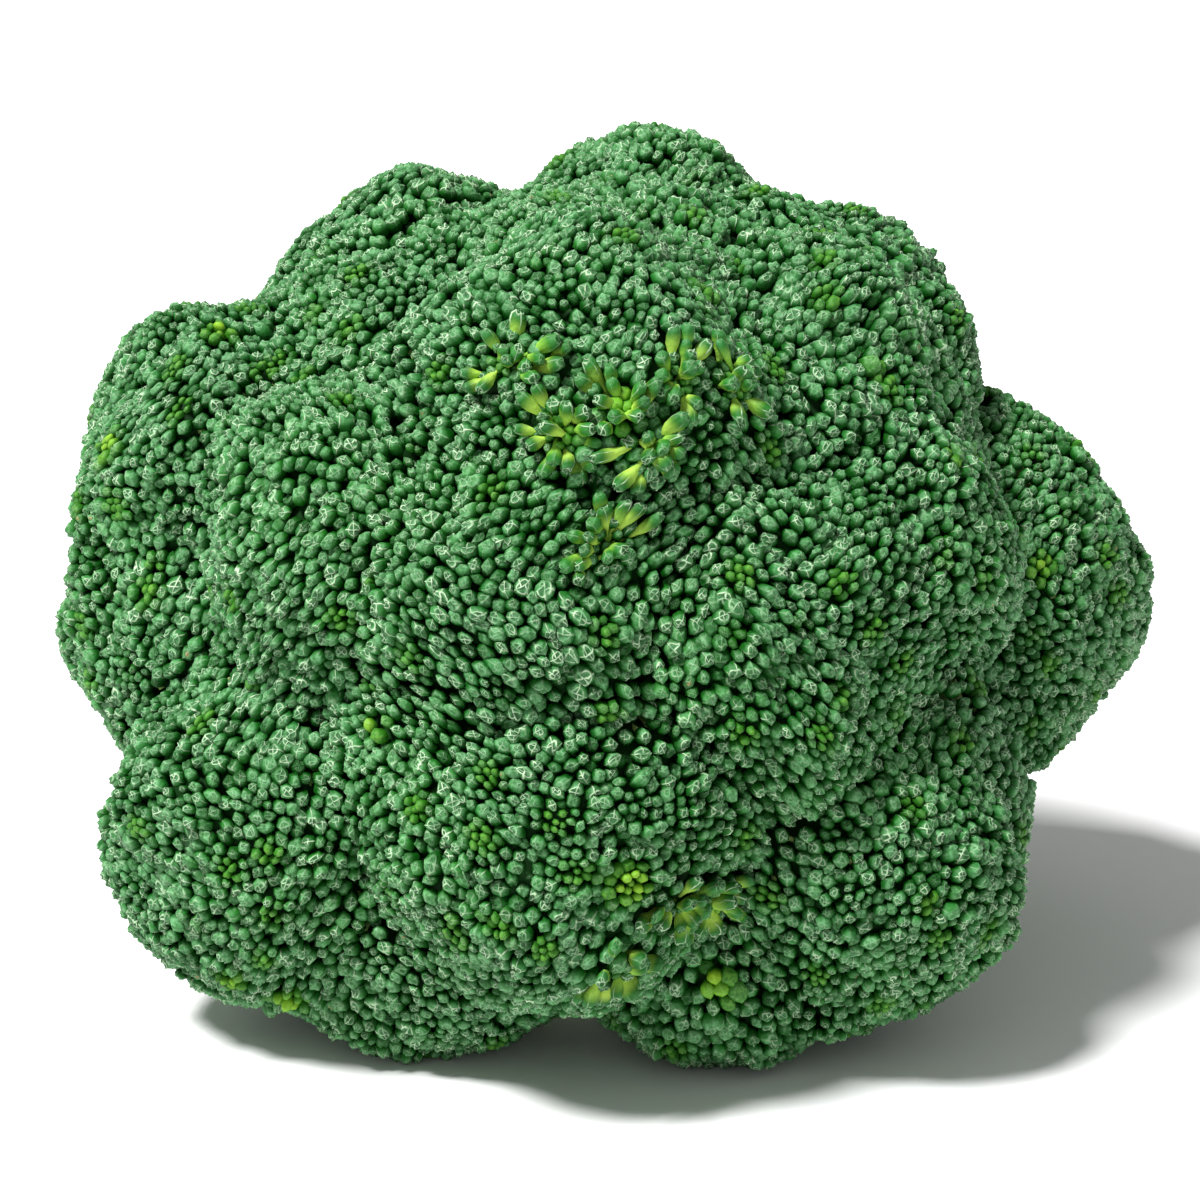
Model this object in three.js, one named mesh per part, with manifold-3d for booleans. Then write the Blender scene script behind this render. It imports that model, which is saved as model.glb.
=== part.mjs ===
// A head of broccoli, lying on its lower florets and on the rim of its cut stem, with the crown facing -Y.
// Millimetres, +Z up. The origin is on the surface it lies on, under the middle of the head.
// One stalk carries every floret on a branch of its own. Each floret is a solid dome of buds: a ball that its
// neighbours press flat at the sides, with a cone underneath that narrows to the end of its branch.

import * as THREE from "three";
import { ConvexHull } from "three/addons/math/ConvexHull.js";
import { mergeVertices } from "three/addons/utils/BufferGeometryUtils.js";
import Module from "manifold-3d";

// The crown: all florets fan out from its heart, which lies on the axis of the stem.
const HEART = new THREE.Vector3(-2.6, 3.1, 62);
const CROWN_TILT = 40; // degrees that the crown's axis rises above the surface

// Florets, from the middle of the crown outwards. Lean is the angle in degrees from the crown's axis, clock the
// angle round that axis from straight up, clockwise as the crown is faced. Reach is from the heart to the middle
// of the ball of buds, and radius is the ball's.
const FLORETS = [
  { name: "floret_centre_upper", lean: 2, clock: 0, reach: 42, radius: 31 },
  { name: "floret_centre_lower", lean: 28, clock: -163, reach: 42, radius: 30.5 },
  { name: "floret_inner_top", lean: 42, clock: 7, reach: 32, radius: 30 },
  { name: "floret_inner_upper_right", lean: 42, clock: 72, reach: 40, radius: 28 },
  { name: "floret_inner_right", lean: 56, clock: 101, reach: 43, radius: 27 },
  { name: "floret_inner_lower_right", lean: 44, clock: 140, reach: 43, radius: 30 },
  { name: "floret_inner_bottom", lean: 64, clock: -172, reach: 49, radius: 31.5 },
  { name: "floret_inner_left", lean: 46, clock: -113, reach: 43, radius: 28.5 },
  { name: "floret_inner_upper_left", lean: 58, clock: -56, reach: 38, radius: 27 },
  { name: "floret_rim_top", lean: 85, clock: 8, reach: 44, radius: 27.2 },
  { name: "floret_rim_upper_right", lean: 75, clock: 48, reach: 43, radius: 28 },
  { name: "floret_rim_right", lean: 105, clock: 88, reach: 55.6, radius: 32 },
  { name: "floret_rim_lower_right", lean: 85, clock: 142, reach: 56.5, radius: 29.5 },
  { name: "floret_rim_foot_right", lean: 91, clock: 164, reach: 59.5, radius: 21.3 },
  { name: "floret_rim_foot_left", lean: 91, clock: -155, reach: 59.6, radius: 23.7 },
  { name: "floret_rim_lower_left", lean: 87, clock: -134, reach: 58, radius: 30 },
  { name: "floret_rim_middle_left", lean: 89.5, clock: -101, reach: 53.5, radius: 27 },
  { name: "floret_rim_left", lean: 79, clock: -79, reach: 53, radius: 28.5 },
  { name: "floret_rim_upper_left", lean: 80, clock: -35, reach: 43, radius: 27.2 },
];

// The surface of a floret: small rounded umbels cover the ball, and coarse buds cover the umbels.
const SURFACE_INSET = 1.3; // from the stated radius to the ball under the umbels
const UMBEL_PITCH = 10.5;
const UMBEL_RISE = 1.5; // of a middling umbel; they vary by the shares below
const UMBEL_SPREAD = 6.2; // from a middling umbel's top to where it is back on the ball
const UMBEL_RISE_VARIES = 0.35;
const UMBEL_SPREAD_VARIES = 0.15;
const UMBEL_SINK = 0.7; // depth of the creases between umbels
const UMBEL_SEED = 3;
const BUD_PITCH = 5.6;
const BUD_RISE = 0.95; // above and below the umbel's surface
const BUD_SEED = 11;
const JITTER = 0.22; // of a pitch
const HIDDEN_PITCH = 11; // between the points of a face that a neighbour or the stalk covers
const EDGE_OVERLAP = 2.6; // how far buds go on round the edge of such a face
const NEIGHBOUR_GAP = 1.1;
const REST_FADE = 4; // height above the surface over which buds and umbels press flat

// No floret grows true: waves that run through the whole head bend every ball, crease and branch a little.
const WAVES = [
  { length: 46, size: 1.5, start: 0.7 },
  { length: 24, size: 0.55, start: 2.9 },
];
const WAVE_SLANT = 0.6;
const WAVE_SHIFT = 2; // radians from the waves along one axis to those along the next
const CUT_FADE = 30; // distance from the cut face over which the waves grow
const GROUND_FADE = 20; // height above the surface over which they lift

// The underside of a floret: a flat round end on the branch, then a cone out to the ball.
const SKIRT = 0.62; // depth of the flat end below the ball's middle, in radii
const CONE_SLOPE = 0.55;
const BRANCH_RADIUS = 0.2; // of the floret's radius
const BRANCH_CLEARANCE = 1.03; // a floret is this much larger where it is cut out of the stalk
const END_MARGIN = 0.2; // radians round the flat end with no other point

// The stalk.
const STEM_LENGTH = 76.5; // heart to cut face
const STEM_SIDES = 20;
const STEM_PROFILE = [
  // share of the way from the cut face to the heart, and radius
  [0, 16.6],
  [0.015, 18.4],
  [0.2, 17.6],
  [0.42, 17.4],
  [0.6, 18.6],
  [0.76, 21],
  [0.9, 22.5],
  [1, 21],
  [1.1, 15],
];
const FLUTES = 5;
const FLUTE_DEPTH = 0.05; // of the radius
const FLUTE_TWIST = 2; // radians over the stem's length
const BRANCH_SIDES = 8;
const BRANCH_STEPS = 5;
const BRANCH_FLARE = 1.45; // radius at the stem over radius at the floret
const TRUNK_START = { inner: 4, outer: 26 }; // how far below the heart a branch leaves, by its lean
const BRANCH_ROOT = 0.12; // share of its curve that a branch leaves out at the stem's middle
const BRANCH_BEND = 0.45; // how much of a branch's length runs straight down from its floret

const GOLDEN_ANGLE = Math.PI * (3 - Math.sqrt(5));
const CLOSE_PACKING = Math.sqrt(3) / 2; // area for each point of a close lattice, in squares of its pitch
const { degToRad, clamp, lerp, smoothstep } = THREE.MathUtils;

const tilt = degToRad(CROWN_TILT);
const CROWN_AXIS = new THREE.Vector3(0, -Math.cos(tilt), Math.sin(tilt));
const CROWN_UP = new THREE.Vector3(0, Math.sin(tilt), Math.cos(tilt));
const CROWN_RIGHT = new THREE.Vector3(1, 0, 0);
const SIDEWAYS = new THREE.Vector3(0.31, 0.59, 0.74); // any direction that no floret points in

// Direction from the heart at a lean and clock angle in degrees.
function heartDirection(lean, clock) {
  const l = degToRad(lean);
  const c = degToRad(clock);
  return CROWN_AXIS.clone()
    .multiplyScalar(Math.cos(l))
    .addScaledVector(CROWN_UP, Math.sin(l) * Math.cos(c))
    .addScaledVector(CROWN_RIGHT, Math.sin(l) * Math.sin(c));
}

// A repeatable number from 0 to 1 for each whole n.
function scatter(n) {
  const s = Math.sin(n * 127.1) * 43758.5453;
  return s - Math.floor(s);
}

// Evenly spread directions about an axis, about `pitch` apart on a ball of that radius, each moved a little.
function spreadDirections(axis, radius, pitch, seed) {
  const count = Math.round((4 * Math.PI * radius * radius) / (CLOSE_PACKING * pitch * pitch));
  const turn = new THREE.Quaternion().setFromUnitVectors(new THREE.Vector3(0, 0, 1), axis);
  const found = [];
  for (let i = 0; i < count; i++) {
    const z = 1 - (2 * (i + 0.5)) / count;
    const ring = Math.sqrt(1 - z * z);
    const angle = i * GOLDEN_ANGLE;
    const d = new THREE.Vector3(ring * Math.cos(angle), ring * Math.sin(angle), z);
    const move = (k) => (scatter(seed * 1000 + i * 3 + k) - 0.5) * 2 * JITTER * (pitch / radius);
    d.x += move(0);
    d.y += move(1);
    d.z += move(2);
    found.push(d.normalize().applyQuaternion(turn));
  }
  return found;
}

// Where the waves move a point of the head to.
function bend(point) {
  const fromCut = point.clone().sub(HEART).dot(CROWN_AXIS) + STEM_LENGTH;
  const sideways = smoothstep(fromCut, 0, CUT_FADE);
  const upward = sideways * smoothstep(point.z, 0, GROUND_FADE);
  const { x, y, z } = point;
  const moved = point.clone();
  for (const { length, size, start } of WAVES) {
    const k = (2 * Math.PI) / length;
    moved.x += sideways * size * Math.sin(k * (y + WAVE_SLANT * z) + start);
    moved.y += sideways * size * Math.sin(k * (z + WAVE_SLANT * x) + start + WAVE_SHIFT);
    moved.z += upward * size * Math.sin(k * (x + WAVE_SLANT * y) + start + 2 * WAVE_SHIFT);
  }
  return moved;
}

// The umbels of a floret: where each stands, how high it rises and how far it spreads.
function umbelsOf(axis, radius, seed) {
  return spreadDirections(axis, radius, UMBEL_PITCH, seed).map((direction, i) => {
    const vary = (k) => 2 * scatter(seed * 1000 + i * 3 + k + 0.5) - 1;
    const rise = UMBEL_RISE * (1 + UMBEL_RISE_VARIES * vary(0));
    return { direction, rise, spread: UMBEL_SPREAD * (1 + UMBEL_SPREAD_VARIES * vary(1)) };
  });
}

const florets = FLORETS.map((f, index) => {
  const axis = heartDirection(f.lean, f.clock);
  const radius = f.radius - SURFACE_INSET;
  return {
    ...f,
    index,
    axis,
    radius,
    middle: HEART.clone().addScaledVector(axis, f.reach),
    skirt: f.radius * SKIRT,
    branchRadius: f.radius * BRANCH_RADIUS,
    coneDepth: f.radius * (SKIRT + CONE_SLOPE * BRANCH_RADIUS),
    umbels: umbelsOf(axis, radius, UMBEL_SEED + index),
  };
});

// The flat faces of a floret: its end on the branch, its resting face, and one for each neighbour that presses on
// it, where both balls are cut at the same circle.
function flatFaces(floret) {
  const reachOut = UMBEL_RISE * (1 + UMBEL_RISE_VARIES) + BUD_RISE + NEIGHBOUR_GAP;
  const faces = [
    { normal: floret.axis.clone().negate(), distance: floret.skirt },
    { normal: new THREE.Vector3(0, 0, -1), distance: floret.middle.z },
  ];
  for (const other of florets) {
    if (other === floret) continue;
    const across = other.middle.clone().sub(floret.middle);
    const d = across.length();
    if (d > floret.radius + other.radius + 2 * reachOut) continue;
    const at = (d * d + floret.radius ** 2 - other.radius ** 2) / (2 * d);
    faces.push({ normal: across.divideScalar(d), distance: at - NEIGHBOUR_GAP / 2 });
  }
  return faces;
}

// How far a floret reaches from its middle along a direction, for the ball with its umbels. `rise` is a bud's.
function openReach(floret, direction, rise) {
  let umbel = -UMBEL_SINK;
  for (const u of floret.umbels) {
    const away = Math.acos(clamp(u.direction.dot(direction), -1, 1)) * floret.radius;
    umbel = Math.max(umbel, u.rise * (1 - (away / u.spread) ** 2));
  }
  const height = floret.middle.z + direction.z * floret.radius;
  return floret.radius + (umbel + rise) * smoothstep(height, 0, REST_FADE);
}

// How far a floret may reach along a direction before it meets one of its flat faces or its underside.
function limitReach(floret, faces, direction) {
  let limit = Infinity;
  for (const { normal, distance } of faces) {
    const toward = normal.dot(direction);
    if (toward > 1e-6) limit = Math.min(limit, distance / toward);
  }
  const down = -floret.axis.dot(direction);
  const cone = down + CONE_SLOPE * Math.sqrt(Math.max(0, 1 - down * down));
  if (cone > 1e-6) limit = Math.min(limit, floret.coneDepth / cone);
  return limit;
}

// How far a direction lies beyond the nearest edge of the open ball, in mm round the ball; less than 0 inside.
function pastEdge(floret, faces, direction) {
  const steepness = Math.hypot(1, CONE_SLOPE);
  const rim = Math.atan(CONE_SLOPE) + Math.acos(floret.coneDepth / (floret.radius * steepness));
  let past = rim - Math.acos(clamp(-floret.axis.dot(direction), -1, 1));
  for (const { normal, distance } of faces) {
    const edge = Math.acos(clamp(distance / floret.radius, -1, 1));
    past = Math.max(past, edge - Math.acos(clamp(normal.dot(direction), -1, 1)));
  }
  return past * floret.radius;
}

// Directions that meet the flat end on the branch, at its middle and round its edge.
function branchEndDirections(floret) {
  const side = new THREE.Vector3().crossVectors(floret.axis, SIDEWAYS).normalize();
  const down = floret.axis.clone().negate();
  const found = [down];
  for (let k = 0; k < BRANCH_SIDES; k++) {
    const out = side.clone().applyAxisAngle(floret.axis, (k * 2 * Math.PI) / BRANCH_SIDES);
    const edge = down.clone().multiplyScalar(floret.skirt).addScaledVector(out, floret.branchRadius);
    found.push(edge.normalize());
  }
  return found;
}

// One floret: a bud stands at each exposed direction, in a cell whose corners are the low points round it.
function floretGeometry(floret) {
  const faces = flatFaces(floret);
  const isOpen = (d) => pastEdge(floret, faces, d) < EDGE_OVERLAP;
  const buds = spreadDirections(floret.axis, floret.radius, BUD_PITCH, BUD_SEED + floret.index).filter(isOpen);
  const ends = branchEndDirections(floret);
  const clearOfEnd = Math.cos(Math.atan2(floret.branchRadius, floret.skirt) + END_MARGIN);
  const hidden = spreadDirections(floret.axis, floret.radius, HIDDEN_PITCH, BUD_SEED)
    .filter((d) => !isOpen(d) && -d.dot(floret.axis) < clearOfEnd);
  const directions = [...buds, ...hidden, ...ends];

  const hull = new ConvexHull().setFromPoints(directions);
  const numberOf = new Map(directions.map((d, i) => [d, i]));
  const cells = hull.faces.map((face) => {
    const corners = [0, 1, 2].map((k) => numberOf.get(face.getEdge(k).head().point));
    return { face, corners, low: null };
  });
  const cellOf = new Map(cells.map((c) => [c.face, c]));

  const points = directions.map((d, i) => {
    const reach = openReach(floret, d, i < buds.length ? BUD_RISE : 0);
    return d.clone().multiplyScalar(Math.min(reach, limitReach(floret, faces, d)));
  });
  for (const cell of cells) {
    if (!cell.corners.every((i) => i < buds.length)) continue;
    const d = new THREE.Vector3();
    for (const i of cell.corners) d.add(directions[i]);
    d.normalize();
    const reach = Math.min(openReach(floret, d, -BUD_RISE), limitReach(floret, faces, d));
    cell.low = points.push(d.multiplyScalar(reach)) - 1;
  }

  const triangles = [];
  for (const cell of cells) {
    if (cell.low === null) {
      triangles.push(...cell.corners);
      continue;
    }
    for (let k = 0; k < 3; k++) {
      const edge = cell.face.getEdge(k);
      const from = numberOf.get(edge.tail().point);
      const to = numberOf.get(edge.head().point);
      const across = cellOf.get(edge.twin.face);
      if (across.low === null) triangles.push(from, to, cell.low);
      else triangles.push(from, across.low, cell.low);
    }
  }
  const bent = points.map((p) => bend(p.add(floret.middle)).sub(floret.middle));
  const geometry = new THREE.BufferGeometry().setFromPoints(bent);
  geometry.setIndex(triangles);
  return geometry;
}

// A tapering limb along a curve, closed at both ends. radiusAt takes the share of the way and the angle.
function limbGeometry(curve, radiusAt, sides, stops) {
  const points = [];
  const triangles = [];
  let side = new THREE.Vector3(1, 0, 0);
  for (const stop of stops) {
    const along = curve.getTangentAt(clamp(stop, 0, 1));
    const middle = curve.getPointAt(clamp(stop, 0, 1));
    side = side.clone().addScaledVector(along, -side.dot(along)).normalize();
    const up = new THREE.Vector3().crossVectors(along, side);
    for (let k = 0; k < sides; k++) {
      const angle = (k * 2 * Math.PI) / sides;
      const r = radiusAt(stop, angle);
      points.push(
        middle.clone().addScaledVector(side, r * Math.cos(angle)).addScaledVector(up, r * Math.sin(angle)),
      );
    }
  }
  for (let ring = 0; ring + 1 < stops.length; ring++) {
    for (let k = 0; k < sides; k++) {
      const a = ring * sides + k;
      const b = ring * sides + ((k + 1) % sides);
      triangles.push(a, b, b + sides, a, b + sides, a + sides);
    }
  }
  const last = (stops.length - 1) * sides;
  for (let k = 1; k + 1 < sides; k++) {
    triangles.push(0, k + 1, k);
    triangles.push(last, last + k, last + k + 1);
  }
  const geometry = new THREE.BufferGeometry().setFromPoints(points.map(bend));
  geometry.setIndex(triangles);
  return geometry;
}

// The stem from its cut face to just past the heart, a little fluted.
function stemGeometry() {
  const cut = HEART.clone().addScaledVector(CROWN_AXIS, -STEM_LENGTH);
  const tipShare = STEM_PROFILE.at(-1)[0];
  const tip = HEART.clone().addScaledVector(CROWN_AXIS, STEM_LENGTH * (tipShare - 1));
  const stops = STEM_PROFILE.map(([share]) => share / tipShare);
  const radiusAt = (stop, angle) => {
    const [, radius] = STEM_PROFILE[stops.indexOf(stop)];
    const flute = smoothstep(stop, 0, 0.3) * FLUTE_DEPTH;
    return radius * (1 + flute * Math.cos(FLUTES * angle + FLUTE_TWIST * stop));
  };
  return limbGeometry(new THREE.LineCurve3(cut, tip), radiusAt, STEM_SIDES, stops);
}

// A branch, from inside the stem to the flat end under its floret.
function branchGeometry(floret) {
  const below = lerp(TRUNK_START.inner, TRUNK_START.outer, clamp(floret.lean / 100, 0, 1));
  const start = HEART.clone().addScaledVector(CROWN_AXIS, -below);
  const end = floret.middle.clone().addScaledVector(floret.axis, -floret.skirt);
  const knee = end.clone().addScaledVector(floret.axis, -BRANCH_BEND * start.distanceTo(end));
  const curve = new THREE.QuadraticBezierCurve3(start, knee, end);
  const stops = Array.from({ length: BRANCH_STEPS }, (_, k) => lerp(BRANCH_ROOT, 1, k / (BRANCH_STEPS - 1)));
  const radiusAt = (stop) => floret.branchRadius * lerp(BRANCH_FLARE, 1, stop);
  return limbGeometry(curve, radiusAt, BRANCH_SIDES, stops);
}

const wasm = await Module();
wasm.setup();

function toSolid(geometry) {
  const bare = geometry.clone();
  bare.deleteAttribute("normal");
  bare.deleteAttribute("uv");
  const merged = mergeVertices(bare, 1e-4);
  return new wasm.Manifold(
    new wasm.Mesh({
      numProp: 3,
      vertProperties: new Float32Array(merged.attributes.position.array),
      triVerts: new Uint32Array(merged.index.array),
    }),
  );
}

function toGeometry(solid) {
  const mesh = solid.getMesh();
  const geometry = new THREE.BufferGeometry();
  geometry.setAttribute("position", new THREE.BufferAttribute(mesh.vertProperties, 3));
  geometry.setIndex(new THREE.BufferAttribute(mesh.triVerts, 1));
  return geometry;
}

// Stem and branches joined in one solid, cut clear of every floret, and cut off level where the rim of the stem
// lies on the surface.
function stalkGeometry(canopies) {
  let stalk = toSolid(stemGeometry());
  for (const floret of florets) stalk = stalk.add(toSolid(branchGeometry(floret)));
  for (const [index, canopy] of canopies.entries()) {
    const larger = canopy.clone().scale(BRANCH_CLEARANCE, BRANCH_CLEARANCE, BRANCH_CLEARANCE);
    stalk = stalk.subtract(toSolid(larger.translate(...florets[index].middle.toArray())));
  }
  const size = 4 * STEM_LENGTH;
  const under = new THREE.BoxGeometry(size, size, size).translate(0, 0, -size / 2);
  return toGeometry(stalk.subtract(toSolid(under)));
}

const budGreen = new THREE.MeshStandardMaterial({
  color: 0x3a7040,
  roughness: 0.62,
  metalness: 0,
  flatShading: true,
});
const stalkGreen = new THREE.MeshStandardMaterial({
  color: 0xa9c47a,
  roughness: 0.5,
  metalness: 0,
  flatShading: true,
});

function namedMesh(name, geometry, material, position) {
  const mesh = new THREE.Mesh(geometry, material);
  mesh.name = name;
  mesh.position.copy(position);
  return mesh;
}

const canopies = florets.map(floretGeometry);
const head = new THREE.Group();
head.add(namedMesh("stalk", stalkGeometry(canopies), stalkGreen, new THREE.Vector3()));
for (const [index, canopy] of canopies.entries()) {
  head.add(namedMesh(florets[index].name, canopy, budGreen, florets[index].middle));
}

export default head;
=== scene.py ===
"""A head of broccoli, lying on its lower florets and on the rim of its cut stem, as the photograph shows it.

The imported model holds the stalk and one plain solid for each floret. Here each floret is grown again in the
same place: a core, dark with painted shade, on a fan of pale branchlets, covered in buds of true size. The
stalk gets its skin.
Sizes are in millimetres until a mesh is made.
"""
import math

import bmesh
import bpy
import numpy as np
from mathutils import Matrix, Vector
from mathutils.kdtree import KDTree


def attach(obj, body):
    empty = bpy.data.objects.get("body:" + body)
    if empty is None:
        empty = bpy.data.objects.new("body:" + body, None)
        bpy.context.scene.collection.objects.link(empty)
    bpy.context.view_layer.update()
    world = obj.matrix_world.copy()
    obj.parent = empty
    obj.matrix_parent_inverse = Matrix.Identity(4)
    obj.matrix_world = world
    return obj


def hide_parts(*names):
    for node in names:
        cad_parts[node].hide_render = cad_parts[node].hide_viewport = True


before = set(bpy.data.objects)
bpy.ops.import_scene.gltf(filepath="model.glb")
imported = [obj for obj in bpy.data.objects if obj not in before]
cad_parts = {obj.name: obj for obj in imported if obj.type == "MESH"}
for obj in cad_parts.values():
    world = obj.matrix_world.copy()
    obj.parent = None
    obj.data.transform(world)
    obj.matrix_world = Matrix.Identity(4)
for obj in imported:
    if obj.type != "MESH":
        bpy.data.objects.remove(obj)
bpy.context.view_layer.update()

MM = 0.001

# The crown, as in the solids: florets fan out from the heart, on the axis of the stem.
HEART = np.array((-2.6, 3.1, 62.0))
CROWN_TILT = math.radians(40)
FLORETS = {
    # lean from the crown's axis and clock angle round it in degrees, reach from the heart and radius
    "floret_centre_upper": (2, 0, 42, 31),
    "floret_centre_lower": (28, -163, 42, 30.5),
    "floret_inner_top": (42, 7, 32, 30),
    "floret_inner_upper_right": (42, 72, 40, 28),
    "floret_inner_right": (56, 101, 43, 27),
    "floret_inner_lower_right": (44, 140, 43, 30),
    "floret_inner_bottom": (64, -172, 49, 31.5),
    "floret_inner_left": (46, -113, 43, 28.5),
    "floret_inner_upper_left": (58, -56, 38, 27),
    "floret_rim_top": (85, 8, 44, 27.2),
    "floret_rim_upper_right": (75, 48, 43, 28),
    "floret_rim_right": (105, 88, 55.6, 32),
    "floret_rim_lower_right": (85, 142, 56.5, 29.5),
    "floret_rim_foot_right": (91, 164, 59.5, 21.3),
    "floret_rim_foot_left": (91, -155, 59.6, 23.7),
    "floret_rim_lower_left": (87, -134, 58, 30),
    "floret_rim_middle_left": (89.5, -101, 53.5, 27),
    "floret_rim_left": (79, -79, 53, 28.5),
    "floret_rim_upper_left": (80, -35, 43, 27.2),
}
SURFACE_INSET = 1.3
NEIGHBOUR_GAP = 1.1
SKIRT = 0.62
CONE_SLOPE = 0.55
BRANCH_RADIUS = 0.2

# Umbels: the small rounded clusters of buds on each floret.
UMBEL_PITCH = 10.5
UMBEL_RISE = 1.5
UMBEL_SPREAD = 6.2
UMBEL_RISE_VARIES = 0.35
UMBEL_SPREAD_VARIES = 0.15
UMBEL_SINK = 0.7
UMBEL_SEED = 3
JITTER = 0.22
REST_FADE = 4.0

# Waves that run through the whole head and bend every ball, crease and branch a little.
WAVES = ((46, 1.5, 0.7), (24, 0.55, 2.9))  # length, size, start
WAVE_SLANT = 0.6
WAVE_SHIFT = 2
CUT_FADE = 30
GROUND_FADE = 20

# The stalk, as in the solids.
STEM_LENGTH = 76.5
STEM_PROFILE = (  # share of the length up from the cut face, radius
    (0, 16.6), (0.015, 18.4), (0.2, 17.6), (0.42, 17.4), (0.6, 18.6), (0.76, 21),
    (0.9, 22.5), (1, 21), (1.1, 15),
)
FLUTES = 5
FLUTE_DEPTH = 0.05
FLUTE_TWIST = 2
BRANCH_FLARE = 1.45
TRUNK_START = (4, 26)
BRANCH_ROOT = 0.12
BRANCH_BEND = 0.45
OVERCUT = 4.0  # how much longer the stem is made before it is cut
SKIN_VOXEL = 1.15
SKIN_ROUNDS = 7

# What the stalk's skin adds: fibres, trimmed leaf scars and a shaped cut face.
RIBS = ((23, 0.05, 0, 1), (37, -0.08, 1.3, 0.7))  # number, turn up the stem, start, share of the height
RIB_HEIGHT = 0.09
RIBS_END = (40, 62)
LEAF_SCARS = ((14, 20), (24, 150), (33, 285), (42, 65), (50, 205))  # height above the cut, angle
SCAR_OUT = 19.6  # from the stem's axis to the trimmed face
SCAR_SIZE = (5.6, 2.7)  # half width and half height of the trimmed face
SCAR_STRANDS = (-3.6, 0, 3.6)  # a leaf's foot is three strands side by side
SCAR_RADII = (4.2, 3.9, 3.5, 3.0, 2.6)
SCAR_ROOT = (7, 4)  # how far inwards and downwards a strand begins
CUT_RINGS = ((0.975, 0.25), (0.87, 0.15), (0.6, -0.15), (0.3, -0.3), (0.1, -0.35))  # radius share, height
WOOD_RING = (10.8, 12.4, 13.9, 15.6)  # radii where the woody ring begins, is full, fades and ends
WOOD_BUNDLES = 45

# Buds stand closer at the middle of an umbel than at its edge, and closest where the umbel is young.
YOUNG_SHARE = 0.32
YOUNG_SPACING = 1.1
MIDDLE_SPACING = 1.45
GROWN_SPACING = 1.86
SPACING_VARIES = 0.12
GROWN_FROM, GROWN_AT = 0.4, 4.4  # distances from the middle of the umbel
CANDIDATE_PITCH = 0.62
CROWDED = 0.66  # buds of two florets that are nearer, in spacings, can't both stay
BUD_FILL = 0.69  # bud radius, in spacings
BUD_LENGTH = 1.22  # half the length over the radius
BUD_SINK = 0.72  # of that half length, from an umbel's surface down to the bud's middle
BUD_SLOPE = 0.95  # how far buds lean with the slope of their umbel
BUD_LEAN_VARIES = 0.15
BUD_SIZE_VARIES = 0.12
BUD_LIFT_VARIES = 0.2
BEAD_SPACING = 1.55  # buds that stand closer are plain beads
CREASE_FILL = 0.7  # the florets meet in rounded valleys, this much shallower than the balls' own
CREASE_WIDTH = 5.0
CREASE_TURN = 0.75  # how far buds in a valley turn away from its other side
BUDS_PAST_RIM = 0.8
BUDS_PAST_FACE = 3.2

# Flowers that are about to open, in an opening umbel.
OPENS_AT = 0.3  # how near the umbel is to an opening place
FLOWER_FROM = 0.8  # from the middle of the umbel
FLOWER_SHARE = 0.48  # of its buds
FLOWER_GROWTH = 2
FLOWER_RADIUS = (0.9, 1.22)
FLOWER_LENGTH = (1.2, 1.6)  # half the length over the radius
FLOWER_RISE = (0.6, 1.6)

# The pale edges of the sepals, on a bud of radius 1.
EDGE_WANDER = 0.17
LIP_AT = 0.55

# The cores, and the pale branchlets with their twigs.
CORE_DEPTH = 1.9
CORE_TOUCH = -0.5  # cores of neighbours all but touch
CORE_HOLLOW = 0.96
GROUND_CLEARANCE = 0.3
RIM_LEAN = 70  # florets that lean further show their underside
RIM_HOLLOW = 0.62
BRANCHLET_DEPTH = 2.2  # from the ball's surface
BRANCHLET_WIDTH = (0.34, 0.46)  # over the branch's
BRANCHLET_TIP = 0.95
BRANCHLET_STOPS = np.linspace(0, 1, 7)
TWIGS_EACH = 5
TWIG_DEPTH = 1.2
TWIG_SPREAD = (2.5, 4.6)
TWIG_STOPS = (0, 0.35, 0.7, 1)
TWIG_RADII = (0.75, 0.62, 0.5, 0.45)

# Places, each with its reach, where flowers are about to open and where young buds are bright yellow-green.
OPENING_PLACES = (
    (-4, -56, 102, 15), (-9, -55, 102, 9), (-14, -52, 106, 7), (-5, -50, 111, 7),
    (2, -60, 89, 9), (14, -54, 101, 9), (3, -66, 27, 10), (11, -63, 28, 6),
)
YELLOW_PLACES = (
    (-57, -12, 103, 7), (-74, -18, 85, 7), (-3, -56, 103, 10), (34, -30, 107, 6), (38, -32, 103, 6),
    (48, -35, 88, 5), (66, -11, 65, 5), (-32, -60, 53, 5), (1, -71, 39, 9), (15, -58, 28, 6),
    (15, -55, 17, 6), (45, -58, 31, 5), (-22, -68, 34, 5), (-53, -46, 14, 6), (-49, -43, 10, 6),
)

GOLDEN_ANGLE = math.pi * (3 - math.sqrt(5))
CLOSE_PACKING = math.sqrt(3) / 2

CROWN_AXIS = np.array((0, -math.cos(CROWN_TILT), math.sin(CROWN_TILT)))
CROWN_UP = np.array((0, math.sin(CROWN_TILT), math.cos(CROWN_TILT)))
CROWN_RIGHT = np.array((1.0, 0, 0))
CUT_MIDDLE = HEART - CROWN_AXIS * STEM_LENGTH
STEM_TURN = (math.pi / 2 - CROWN_TILT, 0, 0)

random = np.random.default_rng(7)


def unit(v):
    """The same vectors, each with length 1."""
    return v / np.linalg.norm(v, axis=-1, keepdims=True)


def scatter(n):
    """A repeatable number from 0 to 1 for each whole n."""
    s = np.sin(n * 127.1) * 43758.5453
    return s - np.floor(s)


def smooth(value, low, high):
    """Smoothly from 0 to 1 while value goes from low to high."""
    t = np.clip((value - low) / (high - low), 0, 1)
    return t * t * (3 - 2 * t)


def blend(a, b, share):
    return a + (b - a) * share


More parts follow.
